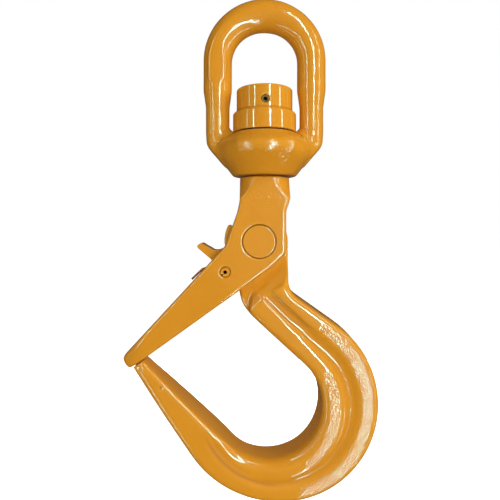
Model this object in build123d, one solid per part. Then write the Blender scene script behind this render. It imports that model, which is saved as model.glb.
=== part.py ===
from build123d import *
import os
from math import acos, atan2, cos, degrees, hypot, pi, radians, sin

# Swivel self-locking hook for lifting gear, in millimetres.
# Frame: +Z up, +X to the viewer's right, the latch side faces -X, the flat front faces -Y.
# Origin: the inner crown of the bow, where a shackle or chain link bears.
# Everything is symmetric about the XZ plane except the marking pad on the bow.

# ---- bow: forged eye with a swivel collar ------------------------------------------------
LEG_R = 7.125              # section radius of the upper legs
CROWN_T = 16.25            # radial thickness at the crown
EYE_CENTRE_Z = -15.25      # centre of the arc that the section follows
LEG_X = 23.375             # leg centre line
NARROW_TOP_Z = -29.5       # the legs thin down from here
NARROW_END_Z = -37.75      # to here
LOWER_LEG_R = 5.95
COLLAR_TOP_Z = -50.8
COLLAR_BOTTOM_Z = -72.25
COLLAR_TOP_R = 15.5
COLLAR_RIM_R = 24.6
COLLAR_RIM_Z = -59.4
COLLAR_BOTTOM_R = 15.6
CONE_SLOPE = 0.87          # radius gained per mm of height on the lower cone
PAD_WIDTH = 9.2            # flat marking pad on the front of the left leg
PAD_FACE_Y = -7.0
PAD_LOW_Z = -25.0
PAD_END = 114.0            # it follows the arch up to this angle, degrees
PAD_LEAN = 5.2             # and leans outwards by this much on the way

# ---- nut, lock pin and thrust bearing ----------------------------------------------------
NECK_R = 8.0               # threaded neck of the shank
NECK_FIT = 0.08            # radial running clearance in the collar
NECK_TOP_Z = -30.0
NUT_TOP_Z = -29.1
NUT_UPPER_R = 13.9
NUT_STEP_Z = -40.1
NUT_SKIRT_TOP_Z = -41.65
NUT_SKIRT_R = 15.7
NUT_SKIRT_BOTTOM_Z = -50.3
BEARING_ROOF_Z = -42.5     # ceiling of the bearing pocket in the nut
POCKET_R = 14.3
RACE_INNER_R = 8.35
RACE_OUTER_R = 13.0
BALL_R = 2.0
BALL_COUNT = 14
PITCH_R = 10.75
BALL_Z = -46.4
RACE_GAP = 1.2             # race face to ball centre
GROOVE_CLEARANCE = 0.04
CAGE_HALF = 0.6
CAGE_OUTER_R = 13.9
CAGE_INNER_R = 8.25
CAGE_BALL_FIT = 0.06
SEAL_GAP = 0.3             # the seal ring above the collar
SEAL_HEIGHT = 1.7
SEAL_LIP = 0.12            # its lip from the lower race
LOCK_PIN_Z = -36.4
LOCK_PIN_R = 2.0
LOCK_PIN_CORE_R = 1.0
LOCK_PIN_RECESS = 0.7

# ---- shank, fork and latch arm (one forging) ---------------------------------------------
SHANK_R = 12.25
SHANK_TOP_Z = -72.9
FORK_HALF = 11.3           # half thickness over the cheeks
SLOT_HALF = 5.8            # half width of the slot between the cheeks
FLARE_R = 16.0
FORK_ROUND = 1.5
NOSE_HALF = 6.4            # half thickness of the arm at its nose
ARM_ANGLE = 222.3          # direction of the arm's centre line from the load pin, degrees
TAPER_START = 26.0         # along the arm, from the load pin
TAPER_END = 88.0
SLOT_R = 17.8              # hub clearance between the cheeks

# ---- load pin, trigger and lock ----------------------------------------------------------
PIN_X = -2.8
PIN_Z = -104.15
PIN_R = 8.0
PIN_FIT = 0.05
PIN_CHAMFER = 0.3
TRIGGER_X = -19.1
TRIGGER_Z = -118.75
TRIGGER_PIN_R = 2.5
TRIGGER_PIN_CORE_R = 0.85   # the pin's core, open at both ends to this depth
TRIGGER_PIN_CORE_DEPTH = 7.0
SLIT_OUT = 1.95            # the round at the end of the pin's slit: distance from the core
SLIT_R = 0.4
SLIT_TURN = 220            # and its direction, degrees
TRIGGER_FIT = 0.05
TRIGGER_BOSS_R = 4.4
TRIGGER_HALF = 5.4
SPRING_WIRE_R = 0.55
SPRING_COIL_R = 3.75
SPRING_TURNS = 2
SPRING_ROOM = 1.1          # clearance round the coil
SPRING_GAP_HALF = 2.6      # half width of the slot in the trigger that holds the coil
SPRING_WAY_R = 7.8         # the slot reaches this far round the leg that pushes the tab
TAB_RELIEF = 130.0         # and the tab is hollow under this angle, for the other leg, degrees

# ---- hook body ---------------------------------------------------------------------------
HUB_R = 14.2
TOOTH_R = 17.1
TOOTH_TOP = 150.5          # degrees about the load pin
TONGUE_HALF = 5.5
BODY_HALF = 10.75
RIM_ROUND = 3.0
TIP_HALF = 5.2
TIP_ANGLE = 130            # direction of the tip from the bowl's centre, degrees
TIP_LENGTH = 62.0          # and how far it takes to thin
BOWL_X = 1.0
BOWL_Z = -183.1
BOWL_R = 26.6
CHANNEL_DEPTH = 1.4
CHANNEL_IN = (3.34, -184.3, 34.9)      # centre and radius of the channel's inner wall
CHANNEL_OUT = (6.4, -183.0, 38.2)      # and of its outer wall
CHANNEL_FADE = -150.0      # the channel narrows to nothing here, degrees
RAMP_NORMAL = -54.1        # direction in which the body thickens below the fork, degrees
RAMP_START = 15.8          # distance from the load pin where it leaves the tongue
RAMP_END = 24.5            # and where it is at full thickness


def outline(points, radii, plane=Plane.XZ):
    """A closed face from corner points, each corner rounded by its own radius."""
    return plane * make_face(FilletPolyline(*points, radius=radii, close=True))


def slab(points, radii, half):
    """A plate of the given outline, centred on the XZ plane."""
    return extrude(outline(points, radii), amount=half, both=True)


def rod_y(x, z, radius, half):
    """A cylinder along Y, centred on the XZ plane."""
    return Pos(x, 0, z) * Rot(90, 0, 0) * Cylinder(radius, 2 * half)


def ring(outer, inner, low, high):
    """A plain ring about the swivel axis."""
    height = high - low
    body = Cylinder(outer, height) - Cylinder(inner, height)
    return Pos(0, 0, (low + high) / 2) * body


def polar(cx, cz, radius, angle):
    """The point at an angle in degrees on a circle in the XZ plane."""
    return (cx + radius * cos(radians(angle)), cz + radius * sin(radians(angle)))


# ------------------------------------------------------------------------------------------
# Bow
# ------------------------------------------------------------------------------------------
def bow_quarter(side):
    """From one leg up to the crown: a round section that grows taller at the crown."""
    leg_face = Plane(origin=(side * LEG_X, 0, EYE_CENTRE_Z), z_dir=(0, 0, 1)) * Circle(LEG_R)
    crown_plane = Plane(origin=(0, 0, EYE_CENTRE_Z + LEG_X), x_dir=(0, 0, 1), z_dir=(-side, 0, 0))
    crown_face = crown_plane * Ellipse(CROWN_T / 2, LEG_R)
    start = (side * LEG_X, 0, EYE_CENTRE_Z)
    middle = (side * LEG_X * cos(pi / 4), 0, EYE_CENTRE_Z + LEG_X * sin(pi / 4))
    end = (0, 0, EYE_CENTRE_Z + LEG_X)
    path = ThreePointArc(start, middle, end)
    return sweep([leg_face, crown_face], path=path, multisection=True)


def bow_leg(side):
    """A straight leg that thins down, then runs into the collar."""
    low = COLLAR_RIM_Z - 8
    points = [
        (0, EYE_CENTRE_Z),
        (LEG_R, EYE_CENTRE_Z),
        (LEG_R, NARROW_TOP_Z),
        (LOWER_LEG_R, NARROW_END_Z),
        (LOWER_LEG_R, low),
        (0, low),
    ]
    profile = outline(points, [0, 0, 7, 7, 0, 0])
    return Pos(side * LEG_X, 0, 0) * revolve(profile, Axis.Z)


def collar():
    """The round boss of the bow, with a domed shoulder and a cone below its rim."""
    points = [
        (0, COLLAR_TOP_Z),
        (COLLAR_TOP_R + 1, COLLAR_TOP_Z),
        (COLLAR_RIM_R, COLLAR_RIM_Z + 2.4),
        (COLLAR_RIM_R, COLLAR_RIM_Z - 1.2),
        (COLLAR_BOTTOM_R, COLLAR_BOTTOM_Z),
        (0, COLLAR_BOTTOM_Z),
    ]
    return revolve(outline(points, [0, 5, 3, 2.2, 2, 0]), Axis.Z)


def leg_limit():
    """A cone with a cylinder above it, which trims the outer foot of each leg."""
    outer = LEG_X + LOWER_LEG_R
    turn_z = COLLAR_BOTTOM_Z + (outer - COLLAR_BOTTOM_R) / CONE_SLOPE
    points = [
        (0, 20),
        (40, 20),
        (40, turn_z + 12),
        (outer + 0.1, turn_z + 6),
        (outer + 0.1, turn_z),
        (COLLAR_BOTTOM_R, COLLAR_BOTTOM_Z),
        (0, COLLAR_BOTTOM_Z),
    ]
    return revolve(outline(points, [0, 0, 0, 0, 6, 0, 0]), Axis.Z)


def marking_pad():
    """A flat pad that follows the front of the left leg and part of the crown."""
    half = PAD_WIDTH / 2
    inner = LEG_X - half
    outer = LEG_X + half
    middle = (180 + PAD_END) / 2
    a_out = polar(0, EYE_CENTRE_Z, outer, 180)
    m_out = polar(0, EYE_CENTRE_Z, outer - PAD_LEAN / 4, middle)
    b_out = polar(0, EYE_CENTRE_Z, outer - PAD_LEAN / 2, PAD_END)
    a_in = polar(0, EYE_CENTRE_Z, inner, 180)
    m_in = polar(0, EYE_CENTRE_Z, inner + 0.7 * PAD_LEAN, middle)
    b_in = polar(0, EYE_CENTRE_Z, inner + PAD_LEAN, PAD_END)
    edges = [
        Line((-outer, PAD_LOW_Z), a_out),
        ThreePointArc(a_out, m_out, b_out),
        Line(b_out, b_in),
        ThreePointArc(b_in, m_in, a_in),
        Line(a_in, (-inner, PAD_LOW_Z)),
        Line((-inner, PAD_LOW_Z), (-outer, PAD_LOW_Z)),
    ]
    face = Plane.XZ * make_face(edges)
    return extrude(face, amount=-PAD_FACE_Y)


def swivel_bow():
    legs = (bow_leg(1) + bow_leg(-1)) & leg_limit()
    arch = bow_quarter(1) + bow_quarter(-1)
    body = arch + legs + collar() + marking_pad()
    bore = Pos(0, 0, -60) * Cylinder(NECK_R + NECK_FIT, 60)
    return body - bore


# ------------------------------------------------------------------------------------------
# Nut, lock pin and bearing
# ------------------------------------------------------------------------------------------
def swivel_nut():
    """A round nut with a skirt that covers the thrust bearing."""
    points = [
        (NECK_R, NUT_TOP_Z - 0.8),
        (NECK_R + 0.8, NUT_TOP_Z),
        (NUT_UPPER_R, NUT_TOP_Z),
        (NUT_UPPER_R, NUT_STEP_Z),
        (NUT_SKIRT_R, NUT_SKIRT_TOP_Z + 0.6),
        (NUT_SKIRT_R, NUT_SKIRT_BOTTOM_Z),
        (POCKET_R, NUT_SKIRT_BOTTOM_Z),
        (POCKET_R, BEARING_ROOF_Z),
        (NECK_R, BEARING_ROOF_Z),
    ]
    body = revolve(outline(points, [0, 0, 0.8, 0, 1.6, 0.4, 0, 0, 0]), Axis.Z)
    return body - rod_y(0, LOCK_PIN_Z, LOCK_PIN_R, 20)


def nut_lock_pin():
    """A spring pin through the nut and the neck, sunk a little at both ends."""
    half = NUT_UPPER_R - LOCK_PIN_RECESS
    pin = chamfer(rod_y(0, LOCK_PIN_Z, LOCK_PIN_R, half).edges(), 0.3)
    return pin - rod_y(0, LOCK_PIN_Z, LOCK_PIN_CORE_R, half + 1)


def groove():
    """The ball track: a ring of round section about the swivel axis."""
    return Pos(0, 0, BALL_Z) * Torus(PITCH_R, BALL_R + GROOVE_CLEARANCE)


def bearing_lower_race():
    return ring(RACE_OUTER_R, RACE_INNER_R, COLLAR_TOP_Z, BALL_Z - RACE_GAP) - groove()


def bearing_upper_race():
    return ring(RACE_OUTER_R, RACE_INNER_R, BALL_Z + RACE_GAP, BEARING_ROOF_Z) - groove()


def ball_places():
    """Equal angles round the pitch circle."""
    return PolarLocations(PITCH_R, BALL_COUNT)


def bearing_cage():
    body = ring(CAGE_OUTER_R, CAGE_INNER_R, BALL_Z - CAGE_HALF, BALL_Z + CAGE_HALF)
    for place in ball_places():
        body -= Pos(0, 0, BALL_Z) * place * Cylinder(BALL_R + CAGE_BALL_FIT, 4)
    return body


def bearing_balls():
    return [Pos(0, 0, BALL_Z) * place * Sphere(BALL_R) for place in ball_places()]


def bearing_seal_ring():
    """A dust seal in the mouth of the skirt, with a lip towards the lower race."""
    low = COLLAR_TOP_Z + SEAL_GAP
    points = [
        (POCKET_R, low),
        (POCKET_R, low + SEAL_HEIGHT),
        (RACE_OUTER_R + 0.5, low + SEAL_HEIGHT),
        (RACE_OUTER_R + SEAL_LIP, low + 0.6),
        (RACE_OUTER_R + SEAL_LIP, low),
    ]
    return revolve(outline(points, [0, 0, 0.2, 0, 0]), Axis.Z)


# ------------------------------------------------------------------------------------------
# Shank, fork and latch arm
# ------------------------------------------------------------------------------------------
def slab_fork():
    """The outline of the fork and the arm that runs down to the hook's tip."""
    points = [
        (SHANK_R, SHANK_TOP_Z),
        (SHANK_R, -83.5),
        (10.2, -89.5),
        (10.2, -109.7),
        (3.2, -116.4),
        (-66.8, -167.4),
        (-70.4, -161.5),
        (-19.3, -106.3),
        (-13.4, -90.0),
        (-SHANK_R, -84.5),
        (-SHANK_R, SHANK_TOP_Z),
    ]
    radii = [0, 8, 8, 3, 14, 1.8, 2.8, 2.5, 14, 8, 0]
    return slab(points, radii, FORK_HALF)


def shank_flare():
    """Round above, opening out in a curve past the corners of the fork."""
    centre_x = SHANK_R + FLARE_R
    start = (SHANK_R, SHANK_TOP_Z)
    middle = polar(centre_x, SHANK_TOP_Z, FLARE_R, 210)
    end = polar(centre_x, SHANK_TOP_Z, FLARE_R, 240)
    edges = [
        Line((0, SHANK_TOP_Z), start),
        ThreePointArc(start, middle, end),
        Line(end, (120, end[1] - 30)),
        Line((120, end[1] - 30), (120, -250)),
        Line((120, -250), (0, -250)),
        Line((0, -250), (0, SHANK_TOP_Z)),
    ]
    return revolve(Plane.XZ * make_face(edges), Axis.Z)


def arm_taper():
    """What the arm keeps: full thickness at the fork, thinning to the nose."""
    slope = (FORK_HALF - NOSE_HALF) / (TAPER_END - TAPER_START)
    wide = FORK_HALF + 1
    s_wide = TAPER_START - 1 / slope
    s_far = TAPER_END + 10
    far_half = NOSE_HALF - 10 * slope
    along = (cos(radians(ARM_ANGLE)), 0, sin(radians(ARM_ANGLE)))
    across = (-along[2], 0, along[0])
    plane = Plane(origin=(PIN_X, 0, PIN_Z), x_dir=along, z_dir=across)
    points = [
        (-90, -wide),
        (s_wide, -wide),
        (s_far, -far_half),
        (s_far, far_half),
        (s_wide, wide),
        (-90, wide),
    ]
    return extrude(outline(points, [0, 60, 0, 0, 60, 0], plane), amount=150, both=True)


def fork_slot():
    """The gap between the cheeks: hub, tongue, trigger and spring live here."""
    hub = rod_y(PIN_X, PIN_Z, SLOT_R, SLOT_HALF)
    points = [
        (PIN_X, -90),
        (PIN_X, -104),
        (-45, -104),
        (-36.5, -118.5),
        (-29.5, -127.2),
        (-14.6, -127.2),
        (-14.6, -150),
        (40, -150),
        (40, -90),
    ]
    return hub + slab(points, [0, 0, 0, 0, 3, 0, 0, 0, 0], SLOT_HALF)


def is_fork_rim(edge):
    """True for the outline edges of the fork's two faces."""
    middle = edge.position_at(0.5)
    along_y = abs(edge.tangent_at(0.5).Y) > 0.35
    on_shank = middle.Z > -82
    across_arm = abs(middle.X + 21.3) < 1 and abs(middle.Z + 122.4) < 1
    return abs(middle.Y) > 4 and not (along_y or on_shank or across_arm)


def latch_fork():
    """Neck, shank, fork and latch arm, forged in one piece."""
    body = slab_fork() & shank_flare() & arm_taper()
    body = fillet(body.edges().filter_by(is_fork_rim), FORK_ROUND)
    neck_top = chamfer(
        (Pos(0, 0, (NECK_TOP_Z + SHANK_TOP_Z) / 2)
         * Cylinder(NECK_R, NECK_TOP_Z - SHANK_TOP_Z)).edges().group_by(Axis.Z)[-1],
        1.0,
    )
    body += neck_top
    body -= fork_slot()
    body -= rod_y(PIN_X, PIN_Z, PIN_R, 20)
    body -= rod_y(TRIGGER_X, TRIGGER_Z, TRIGGER_PIN_R, 20)
    body -= rod_y(0, LOCK_PIN_Z, LOCK_PIN_R, 20)
    return body


def load_pin():
    """The pin that the hook hangs and swings on, flush with both cheeks."""
    return chamfer(rod_y(PIN_X, PIN_Z, PIN_R, FORK_HALF).edges(), PIN_CHAMFER)


# ------------------------------------------------------------------------------------------
# Trigger, its pin and spring
# ------------------------------------------------------------------------------------------
def trigger():
    """A finger tab and a nose that stands under the hub's tooth, on one boss."""
    points = [
        (-17.6, -109.9),
        (-19.9, -107.6),
        (-24.2, -108.9),
        (-31.1, -104.9),
        (-34.0, -106.6),
        (-29.3, -110.6),
        (-26.2, -113.2),
        (-23.3, -118.0),
        (TRIGGER_X, TRIGGER_Z),
        (-15.0, -117.0),
        (-16.6, -113.0),
    ]
    radii = [0.5, 0.8, 4, 1.5, 1.2, 5, 5, 0, 0, 0, 4]
    body = slab(points, radii, TRIGGER_HALF)
    body += rod_y(TRIGGER_X, TRIGGER_Z, TRIGGER_BOSS_R, TRIGGER_HALF)
    body -= rod_y(TRIGGER_X, TRIGGER_Z, TRIGGER_PIN_R + TRIGGER_FIT, 20)
    body -= rod_y(TRIGGER_X, TRIGGER_Z, SPRING_COIL_R + SPRING_WIRE_R + SPRING_ROOM, SPRING_GAP_HALF)
    leg_way = rod_y(TRIGGER_X, TRIGGER_Z, SPRING_WAY_R, SPRING_GAP_HALF)
    left_half = Pos(TRIGGER_X - 20, 0, TRIGGER_Z) * Box(40, 2 * SPRING_GAP_HALF, 40)
    under_tab = [
        (TRIGGER_X, TRIGGER_Z),
        polar(TRIGGER_X, TRIGGER_Z, 14, TAB_RELIEF),
        polar(TRIGGER_X, TRIGGER_Z, 14, 180),
    ]
    return body - (leg_way & left_half) - slab(under_tab, [0, 0, 0], SPRING_GAP_HALF)


def trigger_pin():
    """A slotted spring pin: a core hole, and a slit that ends in a small round."""
    half = FORK_HALF - 0.2
    pin = chamfer(rod_y(TRIGGER_X, TRIGGER_Z, TRIGGER_PIN_R, half).edges(), 0.3)
    slit_x, slit_z = polar(TRIGGER_X, TRIGGER_Z, SLIT_OUT, SLIT_TURN)
    for side in (1, -1):
        place = Pos(0, side * half, 0)
        pin -= place * rod_y(TRIGGER_X, TRIGGER_Z, TRIGGER_PIN_CORE_R, TRIGGER_PIN_CORE_DEPTH)
        pin -= place * rod_y(slit_x, slit_z, SLIT_R, TRIGGER_PIN_CORE_DEPTH)
    return pin


def wire(points, bends):
    """Spring wire along straight runs joined by bends."""
    path = FilletPolyline(*points, radius=bends)
    section = Plane(origin=path.position_at(0), z_dir=path.tangent_at(0)) * Circle(SPRING_WIRE_R)
    return sweep(section, path=path)


def trigger_spring():
    """A torsion spring round the trigger pin: one leg lies on the arm, one lifts the tab."""
    centre = (TRIGGER_X, TRIGGER_Z)
    bend = (-30.8, -118.0)
    arm_end = (-36.1, -123.1)
    tab_end = (-24.5, -115.3)
    arm_touch = tangent_point(bend, centre, SPRING_COIL_R, -1)
    tab_touch = tangent_point(tab_end, centre, SPRING_COIL_R, 1)
    start = degrees(atan2(tab_touch[1] - TRIGGER_Z, tab_touch[0] - TRIGGER_X))
    stop = degrees(atan2(arm_touch[1] - TRIGGER_Z, arm_touch[0] - TRIGGER_X))
    turns = SPRING_TURNS + ((stop - start) % 360) / 360
    pitch = 2 * SPRING_WIRE_R + 0.12
    height = pitch * turns
    coil_path = Helix(pitch=pitch, height=height, radius=SPRING_COIL_R)
    section = Plane(origin=coil_path.position_at(0), z_dir=coil_path.tangent_at(0))
    coil = sweep(section * Circle(SPRING_WIRE_R), path=coil_path, is_frenet=True)
    place = Pos(TRIGGER_X, height / 2, TRIGGER_Z) * Rot(90, 0, 0) * Rot(0, 0, start)
    front = -height / 2
    back = height / 2
    arm_leg = wire(
        [
            (arm_touch[0], front, arm_touch[1]),
            (bend[0], front, bend[1]),
            (arm_end[0], front, arm_end[1]),
        ],
        [2.0],
    )
    tab_path = Line((tab_touch[0], back, tab_touch[1]), (tab_end[0], back, tab_end[1]))
    tab_section = Plane(origin=tab_path.position_at(0), z_dir=tab_path.tangent_at(0))
    tab_leg = sweep(tab_section * Circle(SPRING_WIRE_R), path=tab_path)
    return place * coil + arm_leg + tab_leg


# ------------------------------------------------------------------------------------------
# Hook body
# ------------------------------------------------------------------------------------------
def tangent_point(point, centre, radius, side):
    """Where a line from a point touches a circle, on the given side of the centre."""
    dx = point[0] - centre[0]
    dz = point[1] - centre[1]
    swing = degrees(acos(radius / hypot(dx, dz)))
    angle = degrees(atan2(dz, dx)) + side * swing
    return polar(centre[0], centre[1], radius, angle)


def hook_face():
    """The full outline of the hook, from the hub round the bowl to the tip."""
    bowl = (BOWL_X, BOWL_Z)
    throat_corner = (-10.95, -136.1)
    tip_inner = (-59.6, -162.5)
    throat_touch = tangent_point(throat_corner, bowl, BOWL_R, -1)
    tip_touch = tangent_point(tip_inner, bowl, BOWL_R, 1)
    chain = [
        throat_touch,
        throat_corner,
        (-12.9, -127.5),
        (-11.5, PIN_Z),
        (PIN_X + HUB_R, PIN_Z),
        (PIN_X + HUB_R, -128.2),
        (54.8, -158.9),
        (54.8, -229.7),
        (-19.9, -229.7),
        (-64.9, -166.35),
        tip_inner,
        tip_touch,
    ]
    radii = [16, 12, 0, 0, 10, 45.8, 46.6, 51.5, 0, 0]
    bottom = polar(BOWL_X, BOWL_Z, BOWL_R, -43)
    edges = [
        FilletPolyline(*chain, radius=radii),
        ThreePointArc(tip_touch, bottom, throat_touch),
    ]
    return Plane.XZ * make_face(edges)


def tip_thinning():
    """What is cut from both sides of the tip so that it narrows in a long curve."""
    along = (cos(radians(TIP_ANGLE)), 0, sin(radians(TIP_ANGLE)))
    across = (along[2], 0, -along[0])
    plane = Plane(origin=(BOWL_X, 0, BOWL_Z), x_dir=along, z_dir=(-across[0], 0, -across[2]))
    start_s = -2.0
    drop = BODY_HALF - TIP_HALF
    bend_r = (TIP_LENGTH ** 2 + drop ** 2) / (2 * drop)
    angle = degrees(atan2(TIP_LENGTH, bend_r - drop))
    tools = []
    for side in (1, -1):
        start = (start_s, side * BODY_HALF)
        centre = (start_s, side * (BODY_HALF - bend_r))
        middle = (
            centre[0] + bend_r * sin(radians(angle / 2)),
            centre[1] + side * bend_r * cos(radians(angle / 2)),
        )
        end = (start_s + TIP_LENGTH, side * TIP_HALF)
        edges = [
            ThreePointArc(start, middle, end),
            Line(end, (end[0], side * (BODY_HALF + 5))),
            Line((end[0], side * (BODY_HALF + 5)), (start_s, side * (BODY_HALF + 5))),
            Line((start_s, side * (BODY_HALF + 5)), start),
        ]
        tools.append(extrude(plane * make_face(edges), amount=80))
    return tools


def channel_face():
    """The sunken band in each face: up the neck, round the bowl, fading at the bottom."""
    in_x, in_z, in_r = CHANNEL_IN
    out_x, out_z, out_r = CHANNEL_OUT
    in_touch = polar(in_x, in_z, in_r, 45.8)
    out_touch = polar(out_x, out_z, out_r, 47.3)
    fade = polar(out_x, out_z, out_r, CHANNEL_FADE)
    in_end = (in_touch[0] - 29.8, in_touch[1] + 28.9)
    out_end = (out_touch[0] - 32.3, out_touch[1] + 29.8)
    edges = [
        Line(in_end, in_touch),
        ThreePointArc(in_touch, polar(in_x, in_z, in_r, -52), fade),
        ThreePointArc(fade, polar(out_x, out_z, out_r, -50), out_touch),
        Line(out_touch, out_end),
        Line(out_end, in_end),
    ]
    return Plane.XZ * make_face(edges)


def both_faces(face, floor_half):
    """A cutter from a floor height outwards on the front and on the back."""
    reach = 20
    front = Pos(0, -floor_half, 0) * extrude(face, amount=reach, dir=(0, -1, 0))
    back = Pos(0, floor_half, 0) * extrude(face, amount=reach, dir=(0, 1, 0))
    return front + back


def ramp_cut():
    """Thins the body to the tongue round the load pin, rising in a ramp below the fork."""
    out = (cos(radians(RAMP_NORMAL)), 0, sin(radians(RAMP_NORMAL)))
    across = (out[2], 0, -out[0])
    plane = Plane(origin=(PIN_X, 0, PIN_Z), x_dir=out, z_dir=across)
    tools = []
    for side in (1, -1):
        points = [
            (-60, side * TONGUE_HALF),
            (RAMP_START, side * TONGUE_HALF),
            (RAMP_END, side * (BODY_HALF + 0.01)),
            (RAMP_END + 1, side * (BODY_HALF + 9)),
            (-60, side * (BODY_HALF + 9)),
        ]
        tools.append(extrude(outline(points, [0, 5, 6, 0, 0], plane), amount=90, both=True))
    return tools


def shoulder_face():
    """Left of this line the body stays thin: the root of the inner flange."""
    points = [
        (-40, -112),
        (1.5, -124.2),
        (-6.4, -129.9),
        (-7.6, -136.6),
        (-7.2, -141.0),
        (-14.0, -151.0),
        (-40, -151),
    ]
    return outline(points, [0, 0, 4, 4, 0, 0, 0])


def tooth():
    """The stop on the hub that the trigger's nose stands under."""
    disc = rod_y(PIN_X, PIN_Z, TOOTH_R, TONGUE_HALF)
    points = [
        (PIN_X, PIN_Z),
        polar(PIN_X, PIN_Z, 30, TOOTH_TOP),
        (PIN_X - 40, PIN_Z + 21.0),
        (PIN_X - 10, PIN_Z - 9.0),
    ]
    return disc & slab(points, [0, 0, 0, 0], TONGUE_HALF)


def is_rim(edge):
    """True for the long edges where the flat faces meet the side walls."""
    middle = edge.position_at(0.5)
    along_y = abs(edge.tangent_at(0.5).Y) > 0.35
    in_hub = middle.Z > -126 and middle.X < 10
    on_tip_end = middle.X < -60 and middle.Z > -166
    across_tip = abs(middle.X + 24.6) < 1 and abs(middle.Z + 207) < 1.5
    return abs(middle.Y) > 4 and not (along_y or in_hub or on_tip_end or across_tip)


def hook_body():
    """The forged hook that swings on the load pin."""
    body = extrude(hook_face(), amount=BODY_HALF, both=True)
    for tool in tip_thinning():
        body -= tool
    body = fillet(body.edges().filter_by(is_rim), RIM_ROUND)
    body -= both_faces(channel_face(), BODY_HALF - CHANNEL_DEPTH)
    body -= both_faces(shoulder_face(), TONGUE_HALF + 0.8)
    for tool in ramp_cut():
        body -= tool
    body += rod_y(PIN_X, PIN_Z, HUB_R, TONGUE_HALF)
    body += tooth()
    return body - rod_y(PIN_X, PIN_Z, PIN_R + PIN_FIT, 20)


def main():
    """Writes one STEP file for each sub-part."""
    os.makedirs("parts", exist_ok=True)
    nodes = {
        "swivel_bow": swivel_bow(),
        "swivel_nut": swivel_nut(),
        "nut_lock_pin": nut_lock_pin(),
        "bearing_lower_race": bearing_lower_race(),
        "bearing_upper_race": bearing_upper_race(),
        "bearing_cage": bearing_cage(),
        "bearing_seal_ring": bearing_seal_ring(),
        "latch_fork": latch_fork(),
        "load_pin": load_pin(),
        "trigger": trigger(),
        "trigger_pin": trigger_pin(),
        "trigger_spring": trigger_spring(),
        "hook_body": hook_body(),
    }
    for number, ball in enumerate(bearing_balls(), start=1):
        nodes[f"bearing_ball_{number:02d}"] = ball
    for name, solid in nodes.items():
        export_step(solid, f"parts/{name}.step")


if __name__ == "__main__":
    main()
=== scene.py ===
from math import cos, radians, sin

import bpy
import numpy as np
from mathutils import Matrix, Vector, noise


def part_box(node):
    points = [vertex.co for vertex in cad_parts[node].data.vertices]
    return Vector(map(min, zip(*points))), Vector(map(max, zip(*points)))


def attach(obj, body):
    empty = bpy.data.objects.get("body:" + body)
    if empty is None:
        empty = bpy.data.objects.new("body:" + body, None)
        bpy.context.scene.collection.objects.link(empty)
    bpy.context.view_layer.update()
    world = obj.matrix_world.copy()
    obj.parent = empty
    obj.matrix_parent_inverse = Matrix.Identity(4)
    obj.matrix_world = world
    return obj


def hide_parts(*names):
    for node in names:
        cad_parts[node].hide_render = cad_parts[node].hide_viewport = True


# Looks of a self-locking swivel hook: painted forgings, a turned nut, pins, trigger and spring.
# Metres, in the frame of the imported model. MM turns a size in millimetres into metres.
MM = 0.001

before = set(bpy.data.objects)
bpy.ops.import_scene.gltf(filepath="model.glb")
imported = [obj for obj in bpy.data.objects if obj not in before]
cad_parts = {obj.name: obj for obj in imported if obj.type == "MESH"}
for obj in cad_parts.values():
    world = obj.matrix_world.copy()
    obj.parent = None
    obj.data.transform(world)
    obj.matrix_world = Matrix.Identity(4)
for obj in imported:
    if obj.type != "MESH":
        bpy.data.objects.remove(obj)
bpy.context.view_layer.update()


def middle_of(node):
    low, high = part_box(node)
    return (low + high) / 2


def radius_of(node):
    low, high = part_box(node)
    return (high.x - low.x) / 2


def span(low, high):
    """Where a mask fades in or out, given in millimetres."""
    return (low * MM, high * MM)


# ---- pins
LOAD_PIN_AT = middle_of("load_pin")
LOAD_PIN_R = radius_of("load_pin")
TRIGGER_PIN_AT = middle_of("trigger_pin")
TRIGGER_PIN_R = radius_of("trigger_pin")
SMALL_PIN_R = 5 * MM                             # a pin thinner than this gets the finer mesh
CORE_R = 0.85 * MM                               # hole in the trigger pin
SLIT_OUT = 1.95 * MM                             # the round at the end of its slit
SLIT_TURN = radians(220)
SLIT_AT = TRIGGER_PIN_AT + SLIT_OUT * Vector((cos(SLIT_TURN), 0, sin(SLIT_TURN)))
SLIT_R = 0.4 * MM
HOLE_EDGE = 0.12 * MM                            # how softly the painted shade in a hole ends
CRACK_START = 0.45 * MM                          # cracked paint, inwards from a pin's rim
CRACK_FULL = 0.15 * MM
LOAD_PIN_SEAM = span(0.1, 0.4)                   # and outwards from it, in the fork
TRIGGER_PIN_SEAM = span(0, 0.3)

# ---- bow: heights, and distances from the middle
LEG_ROOT_FOOT = span(-73, -69)                   # where the legs flow into the collar
LEG_ROOT_TOP = span(-50, -42)
LEG_ROOT_SIDE = span(10, 14)
DOME_FOOT = span(-66, -60)                       # dome of the collar
DOME_TOP = span(-54, -50)
SHOULDER_SIDE = span(13, 17)                     # where the dome runs into the legs
SHOULDER_DEPTH = span(5, 9)
PAD_FOOT = span(-30, -27)                        # flat marking pad on the front
PAD_DEPTH = span(1.5, 3)
PAD_RIGHT = 6 * MM
ROUGH_LEGS = span(-50, -30)                      # the skin is rougher below these heights

# ---- fork
NOSE = span(-66, -58)                            # end of the latch arm
SHANK_FOOT = span(-92, -84)                      # the skin is rough above these heights

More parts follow.
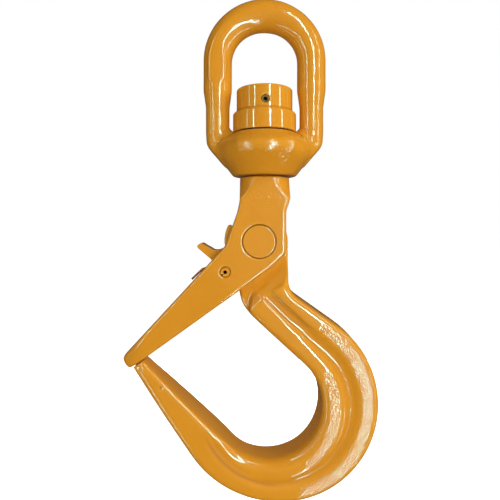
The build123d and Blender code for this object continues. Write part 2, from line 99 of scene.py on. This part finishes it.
# ---- hook
HOOK_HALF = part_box("hook_body")[1].y             # half thickness of the hook
BOWL = (1.0 * MM, -183.1 * MM, 26.6 * MM)        # centre x and z, and radius, of the hook's inside
LAND_IN = (3.34 * MM, -184.3 * MM, 34.9 * MM)    # inner wall of the sunken band
LAND_OUT = (6.4 * MM, -183.0 * MM, 38.2 * MM)    # and its outer wall
WALL_REACH = span(1.5, 3)                        # the strip that is softened along both walls
BAND_EDGE = span(0.3, 1.5)                       # the band's floor begins this far from them
BAND_FLOOR = HOOK_HALF - 1.4 * MM                # level of the floor
BAND_DROP = 0.9 * MM                             # height of the step that carries on from it
BAND_END = (-5.0 * MM, -218.3 * MM)              # where the inner wall runs out
BAND_END_REACH = span(2.5, 6)
ROOT_ARC = (-1.5 * MM, -134.5 * MM, 5.6 * MM)    # centre and radius of a crescent of painted shade in the hollow round the end of the inner flange
ROOT_FOOT = span(-152, -144)                     # where the body thickens below the fork
ROOT_TOP = span(-128, -122)
ROOT_SIDE = span(-4, 2)
RAMP_START = span(13, 16)                        # its slope, outwards from the load pin
RAMP_END = span(25, 29)
RAMP_SIDE = span(-8, -2)
RIM_R = 3 * MM                                   # round on the hook's rims
TIP_TURN = radians(-133.3)                       # direction square to the tip's inner edge
THIN_TURN = radians(130)                         # direction in which the tip thins
TIP_DROP = 5.55 * MM                             # by how much on each side
TIP_LENGTH = 62 * MM                             # and over what length
PUNCH_AT = (-50.2 * MM, -175.0 * MM)             # centre of a punch mark on the tip
PUNCH_DEPTH = 0.5 * MM
PUNCH_REACH = span(0.3, 1.5)

# ---- nut
NUT_UPPER_R = 13.9 * MM
NUT_SKIRT_R = radius_of("swivel_nut")
TURNED_REACH = 0.09 * MM                         # a point this near a turned radius is on that face


# ------------------------------------------------------------------------------------------
# Meshes as arrays
# ------------------------------------------------------------------------------------------
KEPT_STEP = span(0, 0.02)    # over which a one-way smoothing comes in


def points_of(mesh):
    flat = np.empty(len(mesh.vertices) * 3, np.float32)
    mesh.vertices.foreach_get("co", flat)
    return flat.reshape(-1, 3).astype(float)


def set_points(mesh, points):
    mesh.vertices.foreach_set("co", points.astype(np.float32).ravel())
    mesh.update()


def normals_of(mesh):
    flat = np.empty(len(mesh.vertices) * 3, np.float32)
    mesh.vertex_normals.foreach_get("vector", flat)
    return flat.reshape(-1, 3).astype(float)


def neighbour_mean(mesh):
    """A function that gives each point the mean of its neighbours' values."""
    flat = np.empty(len(mesh.edges) * 2, np.int32)
    mesh.edges.foreach_get("vertices", flat)
    one, other = flat.reshape(-1, 2).T
    total = len(mesh.vertices)
    share = np.bincount(one, minlength=total) + np.bincount(other, minlength=total)

    def mean(values):
        columns = []
        for column in values.T:
            gathered = np.bincount(one, column[other], total)
            gathered += np.bincount(other, column[one], total)
            columns.append(gathered / share)
        return np.array(columns).T

    return mean


def smoothstep(values, low, high):
    t = np.clip((values - low) / (high - low), 0, 1)
    return t * t * (3 - 2 * t)


def about(points, centre):
    """Distance from an axis that runs along Y through a centre."""
    return np.hypot(points[:, 0] - centre[0], points[:, 2] - centre[2])


def polar_about(points, circle):
    """Distance from a circle's line, and angle in degrees, of points in the XZ plane."""
    dx = points[:, 0] - circle[0]
    dz = points[:, 2] - circle[1]
    return np.hypot(dx, dz) - circle[2], np.degrees(np.arctan2(dz, dx))


def relax(points, mean, weight, times):
    """Draws each point towards its neighbours' mean, times over, by its weight."""
    for _ in range(times):
        points = points + weight[:, None] * (mean(points) - points)
    return points


def one_way(mesh, points, smoothed, sign):
    """Keeps the part of a smoothing that fills hollows (sign 1) or rounds edges (sign -1)."""
    step = np.einsum("ij,ij->i", smoothed - points, normals_of(mesh))
    keep = smoothstep(sign * step, *KEPT_STEP)
    return points + keep[:, None] * (smoothed - points)


def noise_at(points, size, octaves, seed):
    """Seeded fractal noise, about -1 to 1, with lumps of the given size."""
    offset = Vector((seed, seed * 1.7, seed * 0.3))
    scaled = points / size
    return np.array([noise.fractal(Vector(p) + offset, 0.8, 2.0, octaves) for p in scaled])


# ------------------------------------------------------------------------------------------
# Forged and turned pieces, rebuilt from their CAD solids
# ------------------------------------------------------------------------------------------
SMOOTH_ROUNDS = 6    # each takes SHRINK off and puts GROW back, so that nothing shrinks
SHRINK = 0.5
GROW = 0.52


def even_copy(node, name, voxel):
    """A free copy of a CAD node with an even mesh, so that its edges can be softened."""
    piece = bpy.data.objects.new(name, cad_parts[node].data.copy())
    bpy.context.scene.collection.objects.link(piece)
    remesh = piece.modifiers.new("even", "REMESH")
    remesh.mode = "VOXEL"
    remesh.voxel_size = voxel
    graph = bpy.context.evaluated_depsgraph_get()
    mesh = bpy.data.meshes.new_from_object(piece.evaluated_get(graph))
    piece.modifiers.clear()
    piece.data = mesh
    mesh.materials.clear()
    mesh.shade_smooth()
    return piece


def soften(piece, passes):
    """Takes the voxel steps out without shrinking, then rounds every edge a little."""
    mesh = piece.data
    mean = neighbour_mean(mesh)
    points = points_of(mesh)
    whole = np.ones(len(points))
    for _ in range(SMOOTH_ROUNDS):
        points = relax(points, mean, SHRINK * whole, 1)
        points = relax(points, mean, -GROW * whole, 1)
    points = relax(points, mean, SHRINK * whole, passes)
    set_points(mesh, points)
    return mean


def local_blend(piece, mean, weight, times, sign):
    """Fills (sign 1) or rounds (sign -1) where weight says so."""
    mesh = piece.data
    points = points_of(mesh)
    smoothed = relax(points, mean, 0.6 * weight, times)
    set_points(mesh, one_way(mesh, points, smoothed, sign))


def lumps(piece, height, size, seed):
    """Slow uneven waves left by the forging dies, always inwards so that nothing grows."""
    mesh = piece.data
    points = points_of(mesh)
    waves = 0.5 + 0.5 * np.clip(noise_at(points, size, 2, seed), -1, 1)
    set_points(mesh, points - (height * waves)[:, None] * normals_of(mesh))


def store(mesh, name, values):
    """Keeps one value per point, for the paint."""
    attribute = mesh.attributes.new(name, "FLOAT", "POINT")
    attribute.data.foreach_set("value", values.astype(np.float32))


def mark_hollows(piece, mean, reach, depth, shade_scale=1.0, least_shade=0.0):
    """Stores where the surface is hollow and where it stands out, for the paint.

    The scale, one number or one per point, sets how much painted shade the hollows get, and the last
    argument is the least painted shade a point gets.
    """
    mesh = piece.data
    points = points_of(mesh)
    smoothed = relax(points, mean, np.full(len(points), 0.6), reach)
    height = np.einsum("ij,ij->i", smoothed - points, normals_of(mesh)) / depth
    # painted shade and dust: the hollows are browned where shade would fall
    store(mesh, "hollow", np.maximum(shade_scale * np.clip(height, 0, 1), least_shade))
    store(mesh, "proud", np.clip(-height, 0, 1))


def place(piece, body, slot, *nodes):
    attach(piece, body)
    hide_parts(*nodes)
    return piece


def forged_bow():
    """Soft forged skin, with the legs flowing into a round collar."""
    piece = even_copy("swivel_bow", "forged_bow", 0.55 * MM)
    mean = soften(piece, 2)
    points = points_of(piece.data)
    side = np.abs(points[:, 0])
    depth = np.abs(points[:, 1])
    high = points[:, 2]
    root = smoothstep(high, *LEG_ROOT_FOOT) * (1 - smoothstep(high, *LEG_ROOT_TOP))
    root *= smoothstep(side, *LEG_ROOT_SIDE)
    local_blend(piece, mean, root, 800, 1)
    dome = smoothstep(high, *DOME_FOOT) * (1 - smoothstep(high, *DOME_TOP))
    local_blend(piece, mean, dome, 40, -1)
    shoulder = smoothstep(side, *SHOULDER_SIDE) * smoothstep(depth, *SHOULDER_DEPTH)
    local_blend(piece, mean, dome * shoulder, 200, -1)
    front = smoothstep(-points[:, 1], *PAD_DEPTH) * (points[:, 0] < PAD_RIGHT)
    pad = smoothstep(high, *PAD_FOOT) * front
    local_blend(piece, mean, pad, 140, 1)
    local_blend(piece, mean, pad, 8, -1)
    lumps(piece, 0.10 * MM, 9 * MM, 3.0)
    mark_hollows(piece, mean, 10, 0.25 * MM, 0.4)
    store(piece.data, "cast", 0.35 + 0.5 * (1 - smoothstep(high, *ROUGH_LEGS)))
    return place(piece, "bow", "bow_paint", "swivel_bow")


def forged_fork():
    """The shank with its rough skin, the fork, and the latch arm with its blunt matt nose."""
    piece = even_copy("latch_fork", "forged_fork", 0.5 * MM)
    mean = soften(piece, 1)
    points = points_of(piece.data)
    nose = 1 - smoothstep(points[:, 0], *NOSE)
    local_blend(piece, mean, nose, 30, -1)
    lumps(piece, 0.06 * MM, 11 * MM, 8.0)
    # painted shade: the nose is browned darker
    mark_hollows(piece, mean, 8, 0.2 * MM, least_shade=0.5 * nose)
    store(piece.data, "matt", 0.9 * nose)
    shank = smoothstep(points[:, 2], *SHANK_FOOT)
    store(piece.data, "cast", 0.04 + 0.8 * shank)
    big = 1 - smoothstep(about(points, LOAD_PIN_AT) - LOAD_PIN_R, *LOAD_PIN_SEAM)
    small = 1 - smoothstep(about(points, TRIGGER_PIN_AT) - TRIGGER_PIN_R, *TRIGGER_PIN_SEAM)
    store(piece.data, "seam", np.maximum(big, 0.7 * small))
    return place(piece, "shank", "fork_paint", "latch_fork")


def land_mask(points):
    """1 on the rough flat lands on both sides of the sunken band, 0 elsewhere."""
    outside, out_angle = polar_about(points, LAND_OUT)
    inside, in_angle = polar_about(points, LAND_IN)
    outer = smoothstep(outside, 0.2 * MM, 1.0 * MM)
    outer *= smoothstep(out_angle, -84, -70) * (1 - smoothstep(out_angle, 56, 66))
    inner = smoothstep(-inside, 0.4 * MM, 1.2 * MM)
    inner *= smoothstep(in_angle, -66, -52) * (1 - smoothstep(in_angle, 26, 40))
    return np.clip(outer + inner, 0, 1)


def near_band(points):
    """1 along both walls of the sunken band."""
    weight = np.zeros(len(points))
    for circle in (LAND_IN, LAND_OUT):
        distance, angle = polar_about(points, circle)
        on_arc = smoothstep(angle, -165, -155) * (1 - smoothstep(angle, 70, 90))
        weight = np.maximum(weight, on_arc * (1 - smoothstep(np.abs(distance), *WALL_REACH)))
    return weight


def near_root(points):
    """1 where the body thickens below the fork."""
    low = smoothstep(points[:, 2], *ROOT_FOOT)
    high = 1 - smoothstep(points[:, 2], *ROOT_TOP)
    return low * high * (1 - smoothstep(points[:, 0], *ROOT_SIDE))


def round_bowl_rim(points):
    """A large soft round on both rims of the bowl, largest at its right and bottom."""
    depth, angle = polar_about(points, BOWL)
    share = smoothstep(angle, -150, -110) * (1 - smoothstep(angle, 30, 60))
    low = 1 - smoothstep(angle, -60, 0)
    radius = (2.2 + 1.4 * share + 2.0 * share * low) * MM
    across = radius - depth
    along = np.abs(points[:, 1]) - (HOOK_HALF - radius)
    reach = np.hypot(across, along)
    corner = (across > 0) & (along > 0) & (reach > radius) & (depth > -1 * MM) & (share > 0)
    pull = np.where(corner, radius / reach, 1.0)
    new_depth = radius - across * pull
    new_side = HOOK_HALF - radius + along * pull
    turn = np.radians(angle)
    ring_r = BOWL[2] + new_depth
    moved = np.array([
        BOWL[0] + ring_r * np.cos(turn),
        np.sign(points[:, 1]) * new_side,
        BOWL[1] + ring_r * np.sin(turn),
    ]).T
    return np.where(corner[:, None], moved, points)


def tail_of_band(points):
    """The outer wall of the sunken band runs on round the bottom as a one-sided step."""
    inside, angle = polar_about(points, LAND_OUT)
    along = smoothstep(angle, -158, -146) * (1 - smoothstep(angle, -118, -76))
    across = smoothstep(-inside, 0, 1.0 * MM) * (1 - smoothstep(-inside, 1.0 * MM, 12 * MM))
    drop = BAND_DROP * along * across
    side = np.abs(points[:, 1])
    on_face = smoothstep(side, 5 * MM, 7 * MM)
    lowered = np.where(side > BAND_FLOOR, np.maximum(side - drop, BAND_FLOOR - 0.2 * MM), side)
    lowered = side + on_face * (lowered - side)
    moved = points.copy()
    moved[:, 1] = np.sign(points[:, 1]) * lowered
    return moved


def painted_shade_lines(points):
    """1 where shade is painted: a brown line along the band's outer wall at the bottom, and a crescent
    at the flange's root.
    """
    inside, angle = polar_about(points, LAND_OUT)
    line = np.exp(-((inside + 0.5 * MM) / (0.7 * MM)) ** 2)
    line *= smoothstep(angle, -162, -146) * (1 - smoothstep(angle, -104, -80))
    off, turn = polar_about(points, ROOT_ARC)
    crescent = np.exp(-(off / (1.1 * MM)) ** 2) * smoothstep(turn, 100, 130)
    return np.maximum(line, 0.7 * crescent)


def band_floor(points):
    """1 along the floor of the sunken band, beside the rough lands."""
    inside = polar_about(points, LAND_IN)[0]
    outside, angle = polar_about(points, LAND_OUT)
    between = smoothstep(inside, *BAND_EDGE) * smoothstep(-outside, *BAND_EDGE)
    return between * smoothstep(angle, -84, -60) * (1 - smoothstep(angle, 25, 50))


def band_end(points):
    """1 where the band's inner wall runs out, at the bottom of the hook."""
    dx = points[:, 0] - BAND_END[0]
    dz = points[:, 2] - BAND_END[1]
    return 1 - smoothstep(np.hypot(dx, dz), *BAND_END_REACH)


def ramp_mask(points):
    """1 on the slope where the body thickens below the fork."""
    out = about(points, LOAD_PIN_AT)
    slope = smoothstep(out, *RAMP_START) * (1 - smoothstep(out, *RAMP_END))
    return slope * smoothstep(points[:, 0], *RAMP_SIDE)


def sharpen_tip(points):
    """Squares up the round inner edge of the tip, which the forging leaves nearly sharp."""
    out = np.array([cos(TIP_TURN), sin(TIP_TURN)])
    run = np.array([out[1], -out[0]])
    thin = np.array([cos(THIN_TURN), sin(THIN_TURN)])
    offset = points[:, [0, 2]] - np.array(BOWL[:2])
    depth = offset @ out - BOWL[2]
    share = smoothstep(offset @ run, -8 * MM, 4 * MM)
    half = HOOK_HALF - TIP_DROP * np.clip((offset @ thin + 2 * MM) / TIP_LENGTH, 0, 1.1) ** 2
    across = RIM_R - depth
    along = np.abs(points[:, 1]) - (half - RIM_R)
    corner = (across > 0) & (along > 0) & (depth > -1 * MM) & (share > 0)
    grow = np.where(corner, RIM_R / np.maximum(np.maximum(across, along), 0.5 * RIM_R), 1.0)
    grow = 1 + share * (np.clip(grow, 1, 1.42) ** 0.5 - 1)
    moved = points.copy()
    shift = -across * (grow - 1)
    moved[:, 0] += shift * out[0]
    moved[:, 2] += shift * out[1]
    side = half - RIM_R + along * grow
    moved[:, 1] = np.where(corner, np.sign(points[:, 1]) * side, points[:, 1])
    return moved


def punch_mark(piece):
    """A small round dimple on the front of the tip."""
    points = points_of(piece.data)
    out = np.hypot(points[:, 0] - PUNCH_AT[0], points[:, 2] - PUNCH_AT[1])
    points[:, 1] += PUNCH_DEPTH * (1 - smoothstep(out, *PUNCH_REACH)) * (points[:, 1] < 0)
    set_points(piece.data, points)


def forged_hook():
    """The hook, with rough lands beside its sunken band and matt paint where gloss would glare."""
    piece = even_copy("hook_body", "forged_hook", 0.62 * MM)
    mean = soften(piece, 2)
    points = points_of(piece.data)
    points = tail_of_band(round_bowl_rim(sharpen_tip(points)))
    set_points(piece.data, relax(points, mean, np.full(len(points), 0.4), 2))
    band = near_band(points)
    root = near_root(points)
    set_points(piece.data, relax(points_of(piece.data), mean, 0.5 * band, 22))
    for sign in (1, -1):
        local_blend(piece, mean, root, 12, sign)
    lumps(piece, 0.07 * MM, 14 * MM, 5.0)
    punch_mark(piece)
    ramp = ramp_mask(points)
    # painted shade: less of it in the hollows on the ramp, plus a painted brown line and crescent
    mark_hollows(piece, mean, 10, 0.3 * MM, 1 - ramp, painted_shade_lines(points))
    matt = np.maximum(0.9 * ramp, band_end(points))
    store(piece.data, "matt", np.maximum(matt, 0.8 * band_floor(points)))
    store(piece.data, "cast", 0.08 + 0.92 * land_mask(points))
    return place(piece, "hook", "hook_paint", "hook_body")


def true_up(piece, radii):
    """Puts the points of turned faces back on their exact radius about the swivel axis."""
    points = points_of(piece.data)
    out = np.hypot(points[:, 0], points[:, 1])
    for radius in radii:
        on_face = np.abs(out - radius) < TURNED_REACH
        scale = np.where(on_face, radius / np.maximum(out, 1 * MM), 1)
        points[:, :2] *= scale[:, None]
    set_points(piece.data, points)


def turned_nut():
    piece = even_copy("swivel_nut", "turned_nut", 0.36 * MM)
    mean = soften(piece, 1)
    true_up(piece, (NUT_UPPER_R, NUT_SKIRT_R))
    mark_hollows(piece, mean, 6, 0.12 * MM)
    store(piece.data, "cast", np.full(len(piece.data.vertices), 0.02))
    return place(piece, "shank", "nut_paint", "swivel_nut")


def pin(node, name, slot, body, radius, holes):
    """A painted pin, with cracked paint round its rim and painted shade in the holes in its ends."""
    piece = even_copy(node, name, 0.15 * MM if radius < SMALL_PIN_R else 0.3 * MM)
    mean = soften(piece, 1)
    points = points_of(piece.data)
    mark_hollows(piece, mean, 6, 0.1 * MM)
    out = about(points, middle_of(node))
    store(piece.data, "seam", smoothstep(out, radius - CRACK_START, radius - CRACK_FULL))
    black = np.zeros(len(points))
    for centre, reach in holes:
        black = np.maximum(black, 1 - smoothstep(about(points, centre), reach, reach + HOLE_EDGE))
    store(piece.data, "black", black)
    return place(piece, body, slot, node)


def cast_trigger():
    piece = even_copy("trigger", "cast_trigger", 0.2 * MM)
    mean = soften(piece, 3)
    lumps(piece, 0.05 * MM, 3 * MM, 2.0)
    mark_hollows(piece, mean, 12, 0.12 * MM)
    store(piece.data, "cast", np.full(len(piece.data.vertices), 0.25))
    return place(piece, "trigger", "trigger_paint", "trigger")


# ------------------------------------------------------------------------------------------
# Materials
# ------------------------------------------------------------------------------------------
class Nodes:
    """A short way to build a material's node tree."""

    def __init__(self, name):
        self.material = bpy.data.materials.new(name)
        self.material.use_nodes = True
        self.tree = self.material.node_tree
        self.shader = self.tree.nodes["Principled BSDF"]
        self.point = self.add("ShaderNodeTexCoord").outputs["Object"]

    def give(self, **values):
        """Wires the shader's own inputs, named with _ for each space."""
        for key, value in values.items():
            self.wire(value, self.shader.inputs[key.replace("_", " ")])

    def add(self, kind, **settings):
        node = self.tree.nodes.new(kind)
        for key, value in settings.items():
            setattr(node, key, value)
        return node

    def wire(self, value, socket):
        """Sets a socket to a constant, or links it to another node's output."""
        if isinstance(value, (int, float, tuple)):
            socket.default_value = value
        else:
            self.tree.links.new(value, socket)

    def noise(self, size, detail=2.0, roughness=0.5, squash=(1, 1, 1)):
        """Noise from 0 to 1 with features of the given size in metres."""
        mapping = self.add("ShaderNodeMapping")
        self.wire(self.point, mapping.inputs["Vector"])
        mapping.inputs["Scale"].default_value = squash
        node = self.add("ShaderNodeTexNoise")
        self.wire(mapping.outputs[0], node.inputs["Vector"])
        node.inputs["Scale"].default_value = 1 / size
        node.inputs["Detail"].default_value = detail
        node.inputs["Roughness"].default_value = roughness
        return node.outputs["Fac"]

    def attribute(self, name):
        return self.add("ShaderNodeAttribute", attribute_name=name).outputs["Fac"]

    def math(self, operation, one, other):
        node = self.add("ShaderNodeMath", operation=operation)
        self.wire(one, node.inputs[0])
        self.wire(other, node.inputs[1])
        return node.outputs[0]

    def spread(self, value, low, high, to_low=0.0, to_high=1.0):
        node = self.add("ShaderNodeMapRange", interpolation_type="SMOOTHSTEP")
        self.wire(value, node.inputs["Value"])
        node.inputs["From Min"].default_value = low
        node.inputs["From Max"].default_value = high
        node.inputs["To Min"].default_value = to_low
        node.inputs["To Max"].default_value = to_high
        return node.outputs[0]

    def mix(self, factor, one, other):
        node = self.add("ShaderNodeMix", data_type="RGBA")
        self.wire(factor, node.inputs["Factor"])
        self.wire(one, node.inputs["A"])
        self.wire(other, node.inputs["B"])
        return node.outputs["Result"]

    def bump(self, height, distance, strength=1.0, below=None):
        node = self.add("ShaderNodeBump")
        self.wire(height, node.inputs["Height"])
        node.inputs["Distance"].default_value = distance
        self.wire(strength, node.inputs["Strength"])
        if below is not None:
            self.wire(below, node.inputs["Normal"])
        return node.outputs["Normal"]


def rgb(red, green, blue):
    """A colour given as it shows on a screen, 0 to 255, in the linear values that shaders use."""
    return tuple((v / 255) ** 2.2 for v in (red, green, blue)) + (1.0,)


ORANGE = rgb(222, 147, 39)
SHADE_AND_DUST_BROWN = rgb(150, 84, 26)      # painted shade in the hollows, with thick paint and dust there; also used in cracked paint
EDGE_PALE = rgb(236, 172, 62)      # paler where edges stand out
SEAM = rgb(132, 88, 34)       # where the paint cracks round a pin
HOLE_SHADE = rgb(16, 13, 10)        # painted shade inside a hole
RED_BROWN = rgb(186, 98, 46)  # thin coat on the spring
DULLER = (0.93, 0.9, 0.85, 1)    # what slow drift leaves of each part of a colour
BRIGHTER = 1.06               # and what fine specks make of it
SPECK = 0.9 * MM              # size of the specks, and of the pits in the gloss
FORGED_BUMPS = (1.2 * MM, 0.20 * MM)    # size and height of the bumps on cast or forged skin
LAND_BUMPS = (0.8 * MM, 0.17 * MM)      # and on the hook, where they show on its lands


def paint(name, base, peel_height, gloss, gloss_rough, grain=FORGED_BUMPS, pitted=0.0):
    """Gloss paint over steel: slow drift of colour, orange peel, brown in the hollows.

    On rough cast skin, grain is the size and height of its bumps, and pitted how much of the gloss
    small pits take away.
    """
    n = Nodes(name)
    drift = n.spread(n.noise(22 * MM, 3.0), 0.35, 0.65)
    speck = n.spread(n.noise(SPECK, 3.0, 0.6), 0.3, 0.7)
    dull = tuple(part * keep for part, keep in zip(base, DULLER))
    bright = tuple(min(1, part * BRIGHTER) for part in base)
    seam = n.attribute("seam")
    black = n.attribute("black")
    cast = n.attribute("cast")
    colour = n.mix(n.math("MULTIPLY", drift, 0.5), base, dull)
    colour = n.mix(n.math("MULTIPLY", speck, 0.3), colour, bright)
    # painted shade and dust: brown in the hollows
    colour = n.mix(n.math("MULTIPLY", n.attribute("hollow"), 0.5), colour, SHADE_AND_DUST_BROWN)
    colour = n.mix(n.math("MULTIPLY", n.attribute("proud"), 0.2), colour, EDGE_PALE)
    colour = n.mix(seam, colour, n.mix(speck, SEAM, SHADE_AND_DUST_BROWN))
    # painted shade in the holes
    colour = n.mix(black, colour, HOLE_SHADE)
    rough = n.math("ADD", n.math("MULTIPLY", n.noise(3 * MM, 3.0), 0.16), 0.3)
    peel = n.bump(n.noise(1.6 * MM, 2.0), peel_height)
    peel = n.bump(n.noise(3 * MM, 1.0), 0.08 * MM, cast, peel)
    peel = n.bump(n.noise(grain[0], 1.0), grain[1], cast, peel)
    pits = n.math("MULTIPLY", cast, n.spread(n.noise(SPECK, 2.0, 0.6), 0.5, 0.6, 0.0, pitted))
    bare = n.math("ADD", n.math("ADD", seam, black), n.attribute("matt"))
    bare = n.math("MAXIMUM", bare, pits)
    n.give(Base_Color=colour, Roughness=rough, Normal=peel, Specular_IOR_Level=0.03)
    n.give(Coat_Weight=n.spread(bare, 0, 1, gloss, 0.0), Coat_Roughness=gloss_rough, Coat_Normal=peel)
    return n.material


def steel(name, colour, stain, roughness, grain):
    """Ground or drawn steel: fine grain along one way, with darker stains."""
    n = Nodes(name)
    lines = n.noise(0.5 * MM, 2.0, 0.5, grain)
    spots = n.spread(n.noise(2.5 * MM, 4.0, 0.6), 0.45, 0.7)
    stained = n.mix(n.math("MULTIPLY", spots, 0.6), colour, stain)
    rough = n.math("ADD", n.math("MULTIPLY", lines, 0.2), roughness)
    n.give(Base_Color=stained, Metallic=0.9, Roughness=rough, Normal=n.bump(lines, 0.02 * MM, 0.6))
    return n.material


def rubber(name):
    """Matt black seal with a faint bloom."""
    n = Nodes(name)
    bloom = n.spread(n.noise(3 * MM, 4.0, 0.6), 0.4, 0.8)
    black = n.mix(n.math("MULTIPLY", bloom, 0.3), rgb(30, 28, 27), rgb(70, 66, 62))
    rough = n.math("ADD", n.math("MULTIPLY", bloom, 0.2), 0.6)
    n.give(Base_Color=black, Roughness=rough, Normal=n.bump(n.noise(0.4 * MM, 2.0), 0.02 * MM, 0.6))
    return n.material


def give(obj, material):
    obj.data.materials.clear()
    obj.data.materials.append(material)


# ------------------------------------------------------------------------------------------
# Studio
# ------------------------------------------------------------------------------------------
# Narrow upright tubes make the thin streaks in the gloss: name, azimuth, distance, watts.
TUBES = [
    ("tube_right_front", 18.7, 0.55, 10.0),
    ("tube_left", -41, 0.60, 3.8),
    ("tube_right", 63, 0.60, 3.8),
    ("tube_far_left", -66, 0.70, 1.3),
]
TUBE_COLOUR = (0.36, 1.0, 0.93)    # over orange this makes cream streaks
TUBE_WIDTH = 0.032
TUBE_LENGTH = 1.3
TUBE_HEIGHT = -0.15                # of its middle

# Large soft lights give the even tone: name, azimuth, distance, height, size, watts.
FILLS = [
    ("fill_front", 16, 0.9, -0.15, 0.7, 5.0),
    ("fill_right", 72, 1.0, 0.5, 0.6, 7.5),
    ("fill_left", -50, 1.0, -0.15, 0.7, 1.2),
    ("fill_back", 180, 0.9, -0.11, 0.8, 6.0),
]

WORLD_FRONT = 0.35                 # strength of the room's light from the front
WORLD_BACK = 0.22                  # and from behind
WORLD_TURN = (-0.9, 0.1)           # Y of the directions between which one becomes the other
WORLD_GLOSS = 0.05                 # what gloss mirrors of the room
WORLD_SEEN = 1.0                   # what the camera sees of it

FLOOR_HALF = 6.0
FLOOR_LEVEL = -0.42                # well below the hook, which hangs


def panel(name, azimuth, distance, height, width, tall, watts, colour=(1, 1, 1)):
    """A soft upright rectangular light turned to the swivel axis. Azimuth 0 is in front."""
    data = bpy.data.lights.new(name, "AREA")
    data.shape = "RECTANGLE"
    data.size = width
    data.size_y = tall
    data.energy = watts
    data.color = colour
    light = bpy.data.objects.new(name, data)
    turn = radians(azimuth)
    light.location = (distance * sin(turn), -distance * cos(turn), height)
    back = light.location.copy()
    back.z = 0
    light.rotation_euler = back.to_track_quat("Z", "Y").to_euler()
    bpy.context.scene.collection.objects.link(light)
    return light


def lights():
    """The tubes show in the gloss only, and the fills everywhere but in the gloss."""
    tube_size = (TUBE_WIDTH, TUBE_LENGTH)
    for name, azimuth, distance, watts in TUBES:
        tube = panel(name, azimuth, distance, TUBE_HEIGHT, *tube_size, watts, TUBE_COLOUR)
        tube.visible_diffuse = False
    for name, azimuth, distance, height, size, watts in FILLS:
        fill = panel(name, azimuth, distance, height, size, size, watts)
        fill.visible_glossy = False


def room():
    """The world: brighter from the front, nearly dark in the gloss, and white to the camera."""
    world = bpy.data.worlds.new("studio")
    bpy.context.scene.world = world
    world.use_nodes = True
    tree = world.node_tree
    add = tree.nodes.new
    link = tree.links.new
    background = tree.nodes["Background"]
    rays = add("ShaderNodeLightPath")
    parts = add("ShaderNodeSeparateXYZ")
    link(add("ShaderNodeTexCoord").outputs["Generated"], parts.inputs[0])
    front = add("ShaderNodeMapRange")
    link(parts.outputs["Y"], front.inputs["Value"])
    front.inputs["From Min"].default_value = WORLD_TURN[0]
    front.inputs["From Max"].default_value = WORLD_TURN[1]
    front.inputs["To Min"].default_value = WORLD_FRONT
    front.inputs["To Max"].default_value = WORLD_BACK
    strength = front.outputs[0]
    for ray, instead in (("Is Glossy Ray", WORLD_GLOSS), ("Is Camera Ray", WORLD_SEEN)):
        choice = add("ShaderNodeMix")
        choice.data_type = "FLOAT"
        link(rays.outputs[ray], choice.inputs["Factor"])
        link(strength, choice.inputs["A"])
        choice.inputs["B"].default_value = instead
        strength = choice.outputs["Result"]
    link(strength, background.inputs["Strength"])
    background.inputs["Color"].default_value = (1, 1, 1, 1)


def floor():
    """A plain pale floor that neither tints the paint nor shows in it."""
    mesh = bpy.data.meshes.new("floor")
    ways = ((-1, -1), (1, -1), (1, 1), (-1, 1))
    corners = [(x * FLOOR_HALF, y * FLOOR_HALF, FLOOR_LEVEL) for x, y in ways]
    mesh.from_pydata(corners, [], [(0, 1, 2, 3)])
    obj = bpy.data.objects.new("floor", mesh)
    bpy.context.scene.collection.objects.link(obj)
    n = Nodes("pale_floor")
    grey = n.mix(n.noise(0.4, 3.0), (0.9, 0.9, 0.9, 1), (0.95, 0.95, 0.95, 1))
    n.give(Base_Color=grey, Roughness=0.9, Emission_Color=(1, 1, 1, 1), Emission_Strength=0.9)
    give(obj, n.material)
    obj.visible_diffuse = False
    obj.visible_glossy = False


def camera():
    """Straight in front and close by, about level with the middle of the object."""
    data = bpy.data.cameras.new("camera")
    data.lens = 34.56
    data.sensor_width = 36
    data.shift_y = -0.054
    obj = bpy.data.objects.new("camera", data)
    obj.location = (-0.00725, -0.240, -0.09525)
    obj.rotation_euler = (radians(90), 0, 0)
    bpy.context.scene.collection.objects.link(obj)
    bpy.context.scene.camera = obj
    bpy.context.scene.view_settings.view_transform = "Standard"


# ------------------------------------------------------------------------------------------
# The object
# ------------------------------------------------------------------------------------------
def painted_pieces():
    """The pieces that are rebuilt from their CAD solids."""
    forging = paint("orange_forging", ORANGE, 0.02 * MM, 0.8, 0.07)
    rough = paint("orange_rough", ORANGE, 0.02 * MM, 0.8, 0.07, LAND_BUMPS, 0.6)
    turned = paint("orange_turned", ORANGE, 0.002 * MM, 0.9, 0.05)
    on_pins = paint("orange_pins", ORANGE, 0.012 * MM, 0.7, 0.09)
    give(forged_bow(), forging)
    give(forged_fork(), forging)
    give(forged_hook(), rough)
    give(turned_nut(), turned)
    give(cast_trigger(), forging)
    give(pin("load_pin", "headless_pin", "pin_paint", "shank", LOAD_PIN_R, []), on_pins)
    holes = [(TRIGGER_PIN_AT, CORE_R), (SLIT_AT, SLIT_R)]
    give(pin("trigger_pin", "slotted_pin", "pin_paint", "shank", TRIGGER_PIN_R, holes), on_pins)


def plain_pieces():
    """The CAD meshes that stay as they are and only get a material."""
    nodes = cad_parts
    along_y = (1, 0.2, 1)
    along_z = (1, 1, 0.2)
    race_steel = steel("race_steel", rgb(200, 202, 206), rgb(120, 112, 100), 0.2, along_z)
    give(nodes["nut_lock_pin"], steel("pin_steel", rgb(124, 72, 40), rgb(52, 32, 22), 0.4, along_y))
    give(nodes["trigger_spring"], paint("spring_wire", RED_BROWN, 0.02 * MM, 0.5, 0.15))
    give(nodes["bearing_seal_ring"], rubber("black_rubber"))
    give(nodes["bearing_cage"], steel("cage_metal", rgb(190, 160, 90), rgb(110, 84, 40), 0.35, along_z))
    for node in nodes:
        if "race" in node or "ball" in node:
            give(nodes[node], race_steel)


camera()
lights()
room()
floor()
painted_pieces()
plain_pieces()
